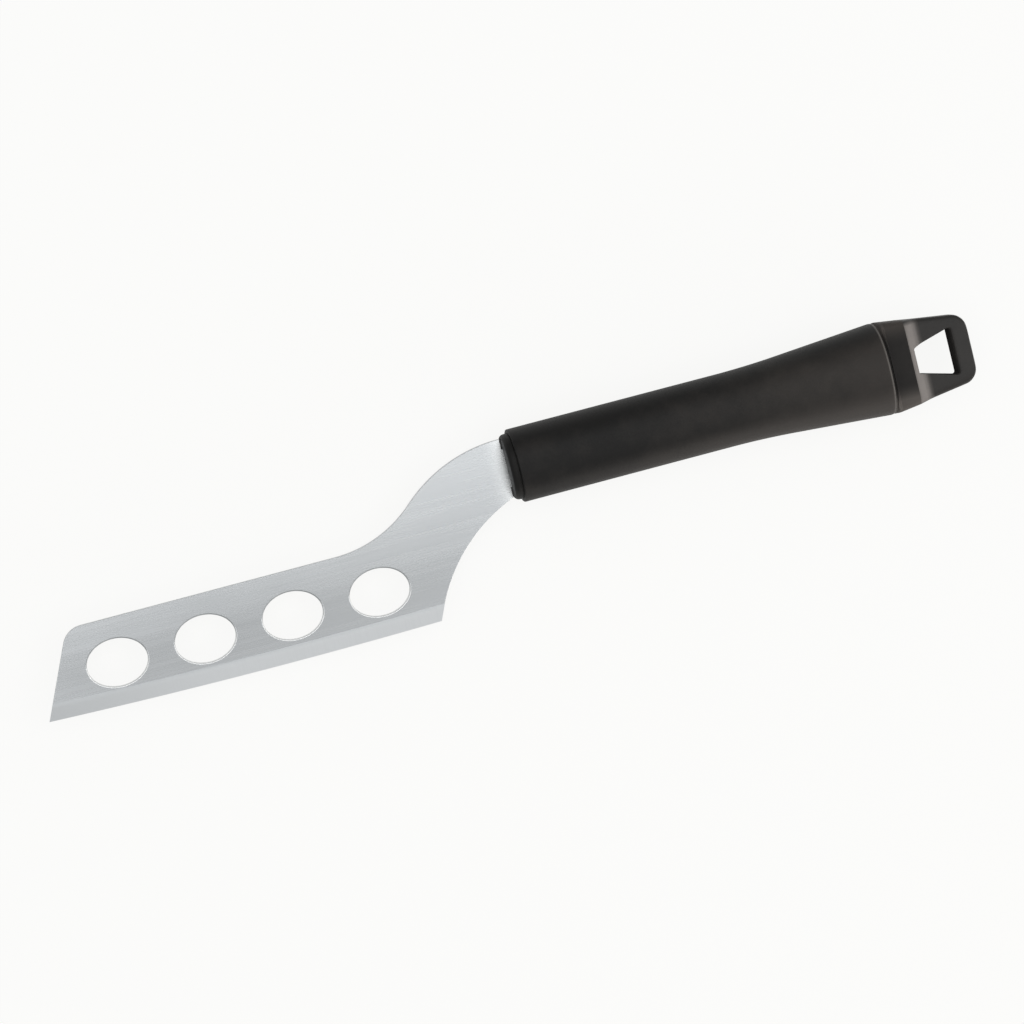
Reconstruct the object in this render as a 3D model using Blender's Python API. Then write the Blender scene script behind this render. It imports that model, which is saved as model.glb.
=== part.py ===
"""Pate knife: a flat steel blade with a row of oval holes, its tang pinned between two core
halves inside a flared plastic grip that a front collar and an end cap with a hanging loop close.

Lengths are in metres. X runs from the blade's tip to the hanging loop, Y from the cutting edge
to the spine and Z up through the blade's face. The pieces are modelled about the point where the
handle's axis meets the shoulders of the neck. One empty carries them all and puts the origin under
the middle of the knife, on the surface that it lies on.
"""

import math

import bmesh
import bpy
from mathutils import Matrix, Vector

# Fit
FIT_GAP = 0.0003               # between pieces that touch on the real knife

# Blade
BLADE_LENGTH = 0.1212          # tip point to heel
BLADE_HEIGHT = 0.0270          # spine to heel
BLADE_THICKNESS = 0.0020
SPINE_DROP = 0.01285           # handle axis down to the spine
EDGE_BELLY = 0.0009            # sagitta of the cutting edge
TIP_RISE = 0.0013              # tip point above the heel
TIP_SLANT = math.radians(24.5)
TIP_CORNER_RADIUS = 0.0068
GRIND_WIDTH = 0.0051           # ground strip along the cutting edge
EDGE_THICKNESS = 0.0003
EDGE_BREAK = 0.0004            # broken edge round the rest of the outline

# Blade holes
HOLE_COUNT = 4
HOLE_LENGTH = 0.0184
HOLE_WIDTH = 0.0143
HOLE_CHAMFER = 0.0004
HOLE_ROW_DROP = 0.01355        # spine down to the hole centres
HOLE_TIP_INSET = 0.02395       # tip point to the first hole centre
HOLE_HEEL_INSET = 0.01605      # last hole centre to the heel

# Neck and tang
NECK_REACH = 0.0303            # heel to the neck's shoulders
NECK_WIDTH = 0.0182
NECK_HOLLOW_RADIUS = 0.0375
NECK_CREST_RADIUS = 0.0467
HEEL_ARC_RADIUS = 0.0514
TANG_WIDTH = 0.0120
TANG_CORNER_RADIUS = 0.0030
TANG_END_MARGIN = 0.0180       # end of the tang to the end of the core

# Pins through the core and the tang
PIN_DIAMETER = 0.0040
PIN_CHAMFER = 0.0004
PIN_RECESS = 0.0006            # pin end below the core's surface
PIN_FRONT_INSET = 0.0180       # front of the core to the front pin
PIN_REAR_INSET = 0.0150        # rear pin to the end of the tang

# Grip sleeve
GRIP_LENGTH = 0.1172
GRIP_STRAIGHT = 0.0660         # length before the flare
GRIP_FRONT_WIDTH = 0.0226
GRIP_FRONT_HEIGHT = 0.0212
GRIP_REAR_WIDTH = 0.0287
GRIP_REAR_HEIGHT = 0.0254
GRIP_WALL = 0.0027             # at the front
GRIP_EDGE_RADIUS = 0.0005
FLARE_EASE = 0.40              # share of the flare that is curved
SQUARENESS = 2.3               # superellipse exponent of the handle's section

# Front collar
COLLAR_LENGTH = 0.0022
COLLAR_STEP = 0.00115          # grip surface down to the collar's
COLLAR_EDGE_RADIUS = 0.0014
COLLAR_SPIGOT_LENGTH = 0.0060

# End cap
CAP_LENGTH = 0.0279
CAP_SPIGOT_LENGTH = 0.0080
CAP_SQUARENESS = 8.0           # superellipse exponent of the band and the tab
GROOVE_LENGTH = 0.0003         # shadow groove at the joint with the grip
GROOVE_DEPTH = 0.0010          # in the faces
GROOVE_SIDE_DEPTH = 0.0002     # in the sides
SHOULDER_LENGTH = 0.0003       # rim behind the groove, with the grip's section
SHOULDER_STEP = 0.0004         # grip surface down to the rim's
SHOULDER_FALL_RUN = 0.0015     # hollow fall from the rim to the band
BAND_LENGTH = 0.0082           # joint to the end of the flat band
BAND_ROOT_HEIGHT = 0.0126      # where the fall ends
BAND_HEIGHT = 0.0138           # at its end
SCOOP_RUN = 0.0053             # slope from the band down to the tab
SCOOP_FILLET_RADIUS = 0.0034   # where the slope meets the tab
TAB_THICKNESS = 0.0070
TAB_END_WIDTH = 0.0207
TAB_CORNER_RADIUS = 0.0039
LOOP_LENGTH = 0.0125
LOOP_NARROW_WIDTH = 0.0078
LOOP_WIDE_WIDTH = 0.0148
LOOP_CORNER_RADIUS = 0.0010
LOOP_END_BAR = 0.0055          # loop to the end of the tab

# Mesh fineness
RING_SIDES = 48
ARC_STEPS = 14
CORNER_STEPS = 6
CUT_MARGIN = 0.002             # how far a cutter passes the wall it cuts

# Places along the handle, from the neck's shoulders
COLLAR_FRONT = FIT_GAP
COLLAR_BACK = COLLAR_FRONT + COLLAR_LENGTH
GRIP_FRONT = COLLAR_BACK + FIT_GAP
GRIP_BACK = GRIP_FRONT + GRIP_LENGTH
CORE_FRONT = COLLAR_BACK + COLLAR_SPIGOT_LENGTH + FIT_GAP
CAP_FRONT = GRIP_BACK + FIT_GAP
CAP_END = CAP_FRONT + CAP_LENGTH
CAP_SPIGOT_FRONT = CAP_FRONT - CAP_SPIGOT_LENGTH
CORE_BACK = CAP_SPIGOT_FRONT - FIT_GAP
TANG_END = CORE_BACK - TANG_END_MARGIN
PIN_PLACES = {
    "tang_pin_front": CORE_FRONT + PIN_FRONT_INSET,
    "tang_pin_rear": TANG_END - PIN_REAR_INSET,
}

# Half sizes of the sections that fit inside one another
BORE_HALF = (GRIP_FRONT_WIDTH / 2 - GRIP_WALL, GRIP_FRONT_HEIGHT / 2 - GRIP_WALL)
PLUG_HALF = (BORE_HALF[0] - FIT_GAP, BORE_HALF[1] - FIT_GAP)
COLLAR_HALF = (GRIP_FRONT_WIDTH / 2 - COLLAR_STEP, GRIP_FRONT_HEIGHT / 2 - COLLAR_STEP)

# Corners of the blade's outline
HEEL = Vector((-NECK_REACH, -SPINE_DROP - BLADE_HEIGHT))
TIP = Vector((HEEL.x - BLADE_LENGTH, HEEL.y + TIP_RISE))
SPINE_Y = -SPINE_DROP


def clear_scene():
    for item in list(bpy.data.objects):
        bpy.data.objects.remove(item, do_unlink=True)


def make_material(name, colour, roughness, metallic):
    material = bpy.data.materials.new(name)
    material.use_nodes = True
    shader = material.node_tree.nodes["Principled BSDF"]
    shader.inputs["Base Color"].default_value = (*colour, 1.0)
    shader.inputs["Roughness"].default_value = roughness
    shader.inputs["Metallic"].default_value = metallic
    return material


def make_object(name, mesh_builder, material, parent):
    """A named object from a bmesh, with its faces outward and its round sides smooth."""
    bmesh.ops.recalc_face_normals(mesh_builder, faces=mesh_builder.faces)
    mesh = bpy.data.meshes.new(name)
    mesh_builder.to_mesh(mesh)
    mesh_builder.free()
    if material:
        mesh.materials.append(material)
    mesh.shade_smooth()
    mesh.set_sharp_from_angle(angle=math.radians(32))
    piece = bpy.data.objects.new(name, mesh)
    piece.parent = parent
    bpy.context.collection.objects.link(piece)
    return piece


def make_cutter(name, mesh_builder, parent):
    cutter = make_object(name, mesh_builder, None, parent)
    cutter.hide_render = True
    cutter.display_type = "WIRE"
    return cutter


def cut(piece, cutter):
    modifier = piece.modifiers.new(cutter.name, "BOOLEAN")
    modifier.operation = "DIFFERENCE"
    modifier.solver = "EXACT"
    modifier.object = cutter


def arc(centre, radius, start, end, steps):
    """Points on a circle from one angle to another, both ends included."""
    angles = (start + (end - start) * step / steps for step in range(steps + 1))
    return [centre + radius * Vector((math.cos(a), math.sin(a))) for a in angles]


def angle_of(point, centre):
    return math.atan2(point.y - centre.y, point.x - centre.x)


def centre_through(first, last, radius):
    """Centre, on the left of the way from first to last, of the circle through both."""
    half = (last - first) / 2
    rise = math.sqrt(radius ** 2 - half.length_squared)
    return first + half + Vector((-half.y, half.x)).normalized() * rise


def power(value, squareness):
    return math.copysign(abs(value) ** (2 / squareness), value)


def section(x, half_width, half_height, squareness=SQUARENESS):
    """One superellipse ring across the handle's axis."""
    ring = []
    for side in range(RING_SIDES):
        turn = 2 * math.pi * side / RING_SIDES
        across = half_width * power(math.cos(turn), squareness)
        up = half_height * power(math.sin(turn), squareness)
        ring.append(Vector((x, across, up)))
    return ring


def skin(rings, tube=False):
    """A closed solid through rings of points: a tube joins its last ring to its first."""
    builder = bmesh.new()
    loops = [[builder.verts.new(point) for point in ring] for ring in rings]
    pairs = list(zip(loops, loops[1:]))
    if tube:
        pairs.append((loops[-1], loops[0]))
    else:
        builder.faces.new(loops[0])
        builder.faces.new(loops[-1])
    for near, far in pairs:
        for side in range(len(near)):
            after = (side + 1) % len(near)
            builder.faces.new((near[side], near[after], far[after], far[side]))
    return builder


def prism(outline, low, high):
    """A flat outline in the XY plane drawn up from one height to another."""
    builder = bmesh.new()
    base = builder.faces.new([builder.verts.new((p.x, p.y, low)) for p in outline])
    drawn = bmesh.ops.extrude_face_region(builder, geom=[base])
    raised = [item for item in drawn["geom"] if isinstance(item, bmesh.types.BMVert)]
    bmesh.ops.translate(builder, verts=raised, vec=(0, 0, high - low))
    return builder


def rounded(corners, radius):
    """A convex outline, given anticlockwise, with each corner replaced by an arc."""
    outline = []
    for index, corner in enumerate(corners):
        to_last = (corners[index - 1] - corner).normalized()
        to_next = (corners[(index + 1) % len(corners)] - corner).normalized()
        half_angle = to_last.angle(to_next) / 2
        centre = corner + (to_last + to_next).normalized() * radius / math.sin(half_angle)
        start = angle_of(corner + to_last * radius / math.tan(half_angle), centre)
        turn = math.pi - 2 * half_angle
        outline += arc(centre, radius, start, start + turn, CORNER_STEPS)
    return outline


def edge_centre_and_radius():
    """Circle of the cutting edge, bowed downward by its belly."""
    half_chord = (HEEL - TIP).length / 2
    radius = (half_chord ** 2 + EDGE_BELLY ** 2) / (2 * EDGE_BELLY)
    return centre_through(TIP, HEEL, radius), radius


def neck_top():
    """Spine side of the neck, from the shoulder down its crest and hollow to the spine."""
    crest_centre = Vector((0, NECK_WIDTH / 2 - NECK_CREST_RADIUS))
    hollow_y = SPINE_Y + NECK_HOLLOW_RADIUS
    reach = NECK_CREST_RADIUS + NECK_HOLLOW_RADIUS
    hollow_x = -math.sqrt(reach ** 2 - (hollow_y - crest_centre.y) ** 2)
    hollow_centre = Vector((hollow_x, hollow_y))
    slope = angle_of(hollow_centre, crest_centre)
    crest = arc(crest_centre, NECK_CREST_RADIUS, math.pi / 2, slope, ARC_STEPS)
    hollow = arc(hollow_centre, NECK_HOLLOW_RADIUS, slope - math.pi, -math.pi / 2, ARC_STEPS)
    return crest + hollow[1:]


def tip_top():
    """Rounded corner between the spine and the slanted tip."""
    down = Vector((-math.sin(TIP_SLANT), -math.cos(TIP_SLANT)))
    corner = TIP - down * (SPINE_Y - TIP.y) / math.cos(TIP_SLANT)
    half_angle = down.angle(Vector((1, 0))) / 2
    tangent = TIP_CORNER_RADIUS / math.tan(half_angle)
    centre = corner + Vector((tangent, -TIP_CORNER_RADIUS))
    return arc(centre, TIP_CORNER_RADIUS, math.pi / 2, math.pi - TIP_SLANT, CORNER_STEPS)


def heel_arc(bottom):
    """Underside of the neck from a point near the heel up to the shoulder."""
    shoulder = Vector((0, -NECK_WIDTH / 2))
    centre = centre_through(shoulder, HEEL, HEEL_ARC_RADIUS)
    start = math.pi + math.asin((centre.y - bottom) / HEEL_ARC_RADIUS)
    end = angle_of(shoulder, centre)
    return arc(centre, HEEL_ARC_RADIUS, start, end, ARC_STEPS)


def tang_outline():
    half = TANG_WIDTH / 2
    inset = TANG_END - TANG_CORNER_RADIUS
    side = half - TANG_CORNER_RADIUS
    lower = arc(Vector((inset, -side)), TANG_CORNER_RADIUS, -math.pi / 2, 0, CORNER_STEPS)
    upper = arc(Vector((inset, side)), TANG_CORNER_RADIUS, 0, math.pi / 2, CORNER_STEPS)
    return [Vector((0, -half)), *lower, *upper, Vector((0, half))]


def blade_sheet():
    """The blade as one sheet of faces, with the ground strip's points at their half thickness."""
    centre, radius = edge_centre_and_radius()
    edge = arc(centre, radius, angle_of(TIP, centre), angle_of(HEEL, centre), ARC_STEPS)
    up_tip = Vector((math.tan(TIP_SLANT), 1)) * GRIND_WIDTH
    heel_side = heel_arc(HEEL.y + GRIND_WIDTH)
    grind_start = TIP + up_tip
    grind_end = heel_side[0]
    grind = []
    for step, point in enumerate(edge):
        x = grind_start.x + (grind_end.x - grind_start.x) * step / ARC_STEPS
        grind.append(Vector((x, point.y + GRIND_WIDTH)))
    flat = grind + heel_side[1:] + tang_outline() + neck_top() + tip_top()

    builder = bmesh.new()
    flat_verts = [builder.verts.new((p.x, p.y, -BLADE_THICKNESS / 2)) for p in flat]
    edge_verts = [builder.verts.new((p.x, p.y, -EDGE_THICKNESS / 2)) for p in edge]
    builder.faces.new(flat_verts)
    for step in range(ARC_STEPS):
        builder.faces.new(
            (edge_verts[step], edge_verts[step + 1], flat_verts[step + 1], flat_verts[step])
        )
    return builder


def break_outline(builder):
    """Chamfers the rim of both flat faces, all but the line where the grind begins."""
    builder.normal_update()
    rims = []
    for edge in builder.edges:
        flat = [face for face in edge.link_faces if abs(face.normal.z) > 0.999]
        walls = [face for face in edge.link_faces if abs(face.normal.z) < 0.01]
        if len(flat) == 1 and len(walls) == 1:
            rims.append(edge)
    bmesh.ops.bevel(
        builder, geom=rims, offset=EDGE_BREAK, affect="EDGES", segments=1, profile=0.5, material=-1
    )


def oval_cutter(x, y):
    """An oval hole with both of its rims chamfered."""
    half_length = HOLE_LENGTH / 2
    half_width = HOLE_WIDTH / 2
    face = BLADE_THICKNESS / 2
    levels = [
        (-face - CUT_MARGIN, HOLE_CHAMFER + CUT_MARGIN),
        (-face + HOLE_CHAMFER, 0),
        (face - HOLE_CHAMFER, 0),
        (face + CUT_MARGIN, HOLE_CHAMFER + CUT_MARGIN),
    ]
    rings = []
    for z, growth in levels:
        ring = []
        for side in range(RING_SIDES):
            turn = 2 * math.pi * side / RING_SIDES
            along = (half_length + growth) * math.cos(turn)
            across = (half_width + growth) * math.sin(turn)
            ring.append(Vector((x + along, y + across, z)))
        rings.append(ring)
    return skin(rings)


def round_bar(x, radius, half_length, chamfer):
    builder = bmesh.new()
    bmesh.ops.create_cone(
        builder, cap_ends=True, segments=RING_SIDES // 2, radius1=radius, radius2=radius,
        depth=2 * half_length, matrix=Matrix.Translation((x, 0, 0)),
    )
    if chamfer:
        rims = [e for e in builder.edges if abs(e.verts[0].co.z - e.verts[1].co.z) < half_length]
        bmesh.ops.bevel(
            builder, geom=rims, offset=chamfer, affect="EDGES", segments=1, profile=0.5, material=-1
        )
    return builder


def make_blade(material, frame, pin_bores):
    builder = blade_sheet()
    drawn = bmesh.ops.extrude_face_region(builder, geom=list(builder.faces))
    for item in drawn["geom"]:
        if isinstance(item, bmesh.types.BMVert):
            item.co.z = -item.co.z
    bmesh.ops.recalc_face_normals(builder, faces=builder.faces)
    break_outline(builder)
    blade = make_object("blade", builder, material, frame)
    first = TIP.x + HOLE_TIP_INSET
    last = HEEL.x - HOLE_HEEL_INSET
    for index in range(HOLE_COUNT):
        x = first + (last - first) * index / (HOLE_COUNT - 1)
        cut(blade, make_cutter(f"hole_cutter_{index}", oval_cutter(x, SPINE_Y - HOLE_ROW_DROP), frame))
    for bore in pin_bores:
        cut(blade, bore)
    return blade


def quarter(radius):
    """Steps of a rounded edge: distance along the axis and how far the surface is drawn in."""
    turns = (math.pi / 2 * step / CORNER_STEPS for step in range(CORNER_STEPS + 1))
    return [(radius * (1 - math.cos(a)), radius * (1 - math.sin(a))) for a in turns]


def make_collar(material, frame, slot):
    rings = [
        section(COLLAR_FRONT + along, COLLAR_HALF[0] - drawn_in, COLLAR_HALF[1] - drawn_in)
        for along, drawn_in in quarter(COLLAR_EDGE_RADIUS)
    ]
    rings.append(section(COLLAR_BACK, *COLLAR_HALF))
    rings.append(section(COLLAR_BACK, *PLUG_HALF))
    rings.append(section(COLLAR_BACK + COLLAR_SPIGOT_LENGTH, *PLUG_HALF))
    cut(make_object("front_collar", skin(rings), material, frame), slot)


def grip_half(x):
    """Half width and half height of the grip: straight, then eased into an even flare."""
    start = GRIP_FRONT + GRIP_STRAIGHT
    share = max(0.0, (x - start) / (GRIP_BACK - GRIP_EDGE_RADIUS - start))
    if share < FLARE_EASE:
        flare = share ** 2 / (FLARE_EASE * (2 - FLARE_EASE))
    else:
        flare = (2 * share - FLARE_EASE) / (2 - FLARE_EASE)
    width = GRIP_FRONT_WIDTH + (GRIP_REAR_WIDTH - GRIP_FRONT_WIDTH) * flare
    height = GRIP_FRONT_HEIGHT + (GRIP_REAR_HEIGHT - GRIP_FRONT_HEIGHT) * flare
    return width / 2, height / 2


def make_grip(material, frame):
    edge = quarter(GRIP_EDGE_RADIUS)
    outer = []
    for along, drawn_in in edge:
        half_width, half_height = grip_half(GRIP_FRONT)
        outer.append(section(GRIP_FRONT + along, half_width - drawn_in, half_height - drawn_in))
    flare_start = GRIP_FRONT + GRIP_STRAIGHT
    flare_end = GRIP_BACK - GRIP_EDGE_RADIUS
    for step in range(ARC_STEPS):
        x = flare_start + (flare_end - flare_start) * step / ARC_STEPS
        outer.append(section(x, *grip_half(x)))
    for along, drawn_in in reversed(edge):
        half_width, half_height = grip_half(flare_end)
        outer.append(section(GRIP_BACK - along, half_width - drawn_in, half_height - drawn_in))
    inner = [section(GRIP_BACK, *BORE_HALF), section(GRIP_FRONT, *BORE_HALF)]
    make_object("grip_sleeve", skin(outer + inner, tube=True), material, frame)


def cap_half_width(x):
    """Half width of the end cap, in a straight taper from the grip to the end of the tab."""
    share = (x - CAP_FRONT) / CAP_LENGTH
    return (GRIP_REAR_WIDTH + (TAB_END_WIDTH - GRIP_REAR_WIDTH) * share) / 2


def band_rings():
    """The spigot, the groove at the joint, the rim behind it and its fall to the flat band."""
    groove_end = CAP_FRONT + GROOVE_LENGTH
    fall_start = groove_end + SHOULDER_LENGTH
    band_end = CAP_FRONT + BAND_LENGTH
    groove_half = (GRIP_REAR_WIDTH / 2 - GROOVE_SIDE_DEPTH, GRIP_REAR_HEIGHT / 2 - GROOVE_DEPTH)
    shoulder_half_height = GRIP_REAR_HEIGHT / 2 - SHOULDER_STEP
    rings = [
        section(CAP_SPIGOT_FRONT, *PLUG_HALF),
        section(CAP_FRONT, *PLUG_HALF),
        section(CAP_FRONT, *groove_half),
        section(groove_end, *groove_half),
        section(groove_end, cap_half_width(groove_end), shoulder_half_height),
    ]
    for along, share in quarter(1):
        x = fall_start + along * SHOULDER_FALL_RUN
        half_height = BAND_ROOT_HEIGHT / 2 + (shoulder_half_height - BAND_ROOT_HEIGHT / 2) * share
        squareness = 1 / (share / SQUARENESS + (1 - share) / CAP_SQUARENESS)
        rings.append(section(x, cap_half_width(x), half_height, squareness))
    rings.append(section(band_end, cap_half_width(band_end), BAND_HEIGHT / 2, CAP_SQUARENESS))
    return rings


def scoop_rings():
    """A straight slope from the end of the band that turns into the tab by a fillet."""
    end = CAP_FRONT + BAND_LENGTH + SCOOP_RUN
    rise = (BAND_HEIGHT - TAB_THICKNESS) / 2 - SCOOP_FILLET_RADIUS
    slope = math.atan2(rise, SCOOP_RUN) + math.asin(SCOOP_FILLET_RADIUS / math.hypot(SCOOP_RUN, rise))
    rings = []
    for step in range(CORNER_STEPS + 1):
        turn = slope * (1 - step / CORNER_STEPS)
        x = end - SCOOP_FILLET_RADIUS * math.sin(turn)
        half_height = TAB_THICKNESS / 2 + SCOOP_FILLET_RADIUS * (1 - math.cos(turn))
        rings.append(section(x, cap_half_width(x), half_height, CAP_SQUARENESS))
    return rings


def tab_end_rings():
    rings = []
    for along, drawn_in in reversed(quarter(TAB_CORNER_RADIUS)):
        x = CAP_END - along
        rings.append(section(x, cap_half_width(x) - drawn_in, TAB_THICKNESS / 2, CAP_SQUARENESS))
    return rings


def loop_outline():
    far = CAP_END - LOOP_END_BAR
    near = far - LOOP_LENGTH
    corners = [
        Vector((near, -LOOP_NARROW_WIDTH / 2)),
        Vector((far, -LOOP_WIDE_WIDTH / 2)),
        Vector((far, LOOP_WIDE_WIDTH / 2)),
        Vector((near, LOOP_NARROW_WIDTH / 2)),
    ]
    return rounded(corners, LOOP_CORNER_RADIUS)


def make_cap(material, frame):
    cap = make_object("end_cap", skin(band_rings() + scoop_rings() + tab_end_rings()), material, frame)
    reach = GRIP_REAR_HEIGHT / 2 + CUT_MARGIN
    cut(cap, make_cutter("loop_cutter", prism(loop_outline(), -reach, reach), frame))


def make_core_half(name, side, material, frame, cutters):
    """One half of the core: a half section with its flat at the joint between the two."""
    flat = FIT_GAP / 2
    half_width, half_height = PLUG_HALF
    steps = RING_SIDES // 2
    outline = []
    for step in range(steps + 1):
        turn = math.pi * step / steps
        z = flat + (half_height - flat) * power(math.sin(turn), SQUARENESS)
        outline.append((half_width * power(math.cos(turn), SQUARENESS), side * z))
    rings = [[Vector((x, y, z)) for y, z in outline] for x in (CORE_FRONT, CORE_BACK)]
    half = make_object(name, skin(rings), material, frame)
    for cutter in cutters:
        cut(half, cutter)


def make_tang_slot(frame):
    """Room for the tang through the collar and between the core halves."""
    half_width = TANG_WIDTH / 2 + FIT_GAP
    half_height = BLADE_THICKNESS / 2 + FIT_GAP
    start = COLLAR_FRONT - CUT_MARGIN
    end = TANG_END + FIT_GAP
    outline = [
        Vector((start, -half_width)),
        Vector((end, -half_width)),
        Vector((end, half_width)),
        Vector((start, half_width)),
    ]
    return make_cutter("tang_slot_cutter", prism(outline, -half_height, half_height), frame)


def make_pins(material, frame):
    """The pins, and the cutters of the bores that they pass through."""
    bores = []
    for name, x in PIN_PLACES.items():
        half_length = PLUG_HALF[1] - PIN_RECESS
        make_object(name, round_bar(x, PIN_DIAMETER / 2, half_length, PIN_CHAMFER), material, frame)
        reach = PLUG_HALF[1] + CUT_MARGIN
        bore = round_bar(x, PIN_DIAMETER / 2 + FIT_GAP, reach, 0)
        bores.append(make_cutter(f"{name}_bore_cutter", bore, frame))
    return bores


def make_frame():
    """The empty that carries the knife: its origin is under the middle of the whole outline."""
    centre, radius = edge_centre_and_radius()
    lowest = centre.y - radius
    highest = GRIP_REAR_WIDTH / 2
    frame = bpy.data.objects.new("knife", None)
    frame.location = (-(TIP.x + CAP_END) / 2, -(lowest + highest) / 2, GRIP_REAR_HEIGHT / 2)
    bpy.context.collection.objects.link(frame)
    return frame


def main():
    clear_scene()
    steel = make_material("satin_steel", (0.59, 0.605, 0.62), 0.27, 1.0)
    pin_steel = make_material("pin_steel", (0.56, 0.57, 0.58), 0.30, 1.0)
    grip_black = make_material("grip_black", (0.013, 0.0115, 0.0105), 0.58, 0.0)
    trim_black = make_material("trim_black", (0.0175, 0.016, 0.015), 0.44, 0.0)
    core_grey = make_material("core_grey", (0.16, 0.16, 0.16), 0.60, 0.0)

    frame = make_frame()
    pin_bores = make_pins(pin_steel, frame)
    tang_slot = make_tang_slot(frame)
    make_blade(steel, frame, pin_bores)
    make_collar(grip_black, frame, tang_slot)
    make_grip(grip_black, frame)
    make_cap(trim_black, frame)
    for name, side in (("core_upper", 1), ("core_lower", -1)):
        make_core_half(name, side, core_grey, frame, [tang_slot, *pin_bores])


main()
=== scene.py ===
"""A flat pate knife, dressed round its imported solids: satin blade, black grip, collar and end cap.

Lengths are in metres. Each piece is drawn about the point where the handle's axis meets the shoulders
of the blade's neck, with X toward the hanging loop, Y toward the spine and Z up through the blade's
face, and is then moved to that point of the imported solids.
"""

import math

import bmesh
import bpy
from mathutils import Matrix, Vector


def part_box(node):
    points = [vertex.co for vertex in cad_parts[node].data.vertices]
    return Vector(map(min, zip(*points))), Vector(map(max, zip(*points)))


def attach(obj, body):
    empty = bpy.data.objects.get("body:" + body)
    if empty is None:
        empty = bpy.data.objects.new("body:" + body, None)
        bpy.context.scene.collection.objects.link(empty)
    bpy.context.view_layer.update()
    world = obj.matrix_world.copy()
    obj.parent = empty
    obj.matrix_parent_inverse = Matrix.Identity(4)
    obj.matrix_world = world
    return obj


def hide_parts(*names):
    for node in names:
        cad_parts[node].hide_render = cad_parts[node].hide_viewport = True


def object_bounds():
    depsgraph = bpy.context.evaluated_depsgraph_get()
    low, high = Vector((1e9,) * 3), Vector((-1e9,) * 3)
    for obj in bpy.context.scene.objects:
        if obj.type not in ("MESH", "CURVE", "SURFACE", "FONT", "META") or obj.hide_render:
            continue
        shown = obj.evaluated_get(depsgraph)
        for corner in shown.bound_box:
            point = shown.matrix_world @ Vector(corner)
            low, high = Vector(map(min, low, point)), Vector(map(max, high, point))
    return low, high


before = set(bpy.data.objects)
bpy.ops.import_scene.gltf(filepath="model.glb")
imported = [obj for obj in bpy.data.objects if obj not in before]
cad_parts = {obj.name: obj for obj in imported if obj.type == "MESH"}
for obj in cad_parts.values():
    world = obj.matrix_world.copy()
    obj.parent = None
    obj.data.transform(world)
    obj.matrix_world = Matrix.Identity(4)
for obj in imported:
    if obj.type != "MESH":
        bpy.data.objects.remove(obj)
CAD_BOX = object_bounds()

# Blade
BLADE_LENGTH = 0.1212
BLADE_HEIGHT = 0.0270
BLADE_THICKNESS = 0.0020
SPINE_DROP = 0.01285
EDGE_BELLY = 0.0009
TIP_RISE = 0.0013
TIP_SLANT = math.radians(24.5)
TIP_CORNER_RADIUS = 0.0068
GRIND_WIDTH = 0.0051
EDGE_THICKNESS = 0.0003
OUTLINE_ROUNDING = 0.00015
EDGE_STEPS = 48

# Blade holes
HOLE_COUNT = 4
HOLE_LENGTH = 0.0184
HOLE_WIDTH = 0.0143
HOLE_ROUNDING = 0.0004
HOLE_ROW_DROP = 0.01355
HOLE_TIP_INSET = 0.02395
HOLE_HEEL_INSET = 0.01605
HOLE_SIDES = 112

# Neck and tang
NECK_REACH = 0.0303
NECK_WIDTH = 0.0182
NECK_HOLLOW_RADIUS = 0.0375
NECK_CREST_RADIUS = 0.0467
HEEL_ARC_RADIUS = 0.0514
TANG_WIDTH = 0.0120
TANG_CORNER_RADIUS = 0.0030
FIT_GAP = 0.0003
NECK_STEPS = 40
CORNER_STEPS = 12

# Blade faces: flatness of the filled face, normals of flat and of upright faces, angle of a crease
FILL_FLATNESS = 0.01
FLAT_NORMAL = 0.9999
UPRIGHT_NORMAL = 0.01
BLADE_CREASE = math.radians(35)

# Handle
SIDES = 144
SQUARENESS = 2.3
GRIP_FORE = (0.0113, 0.0106)
GRIP_STRAIGHT = 0.0660
GRIP_WALL = 0.0027
GRIP_FRONT_ROUNDING = 0.0004
GRIP_REAR_ROUNDING = 0.0010
GRIP_REAR_SIDE_SHARE = 0.25
FLARE_EASE = 0.40
FLARE_STEPS = 36
ROUNDING_STEPS = 6
HANDLE_CREASE = math.radians(32)
COLLAR_SEAM = 0.00008
CAP_SEAM = 0.00008
COLLAR_ROUNDING = 0.0014
CAP_SPIGOT_LENGTH = 0.0080
CAP_SQUARENESS = 8.0
GROOVE_LENGTH = 0.0003
GROOVE_DEPTH = 0.0010
GROOVE_SIDE_DEPTH = 0.0002
SHOULDER_LENGTH = 0.0003
SHOULDER_STEP = 0.0004
SHOULDER_FALL_RUN = 0.0015
SHOULDER_FALL_STEPS = 14
BAND_LENGTH = 0.0082
BAND_ROOT_HEIGHT = 0.0126
BAND_HEIGHT = 0.0138
SCOOP_RUN = 0.0053
SCOOP_FILLET_RADIUS = 0.0034
SCOOP_STEPS = 18
SCOOP_LIP = 0.0003
TAB_THICKNESS = 0.0070
TAB_END_WIDTH = 0.0207
TAB_CORNER_RADIUS = 0.0039
TAB_CORNER_STEPS = 16
TAB_ROUNDING = 0.0006
TAB_STEPS = 10
LOOP_LENGTH = 0.01285
LOOP_NARROW_WIDTH = 0.0079
LOOP_WIDE_WIDTH = 0.0148
LOOP_CORNER_RADIUS = 0.0010
LOOP_NEAR_RADIUS = 0.0005
LOOP_ROUNDING = 0.0010
LOOP_SIDE_SHARE = 0.3
LOOP_END_BAR = 0.0055
LOOP_WALL_NORMAL = 0.5
LOOP_MITRE_LIMIT = 0.5
WELD = 0.00001

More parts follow.
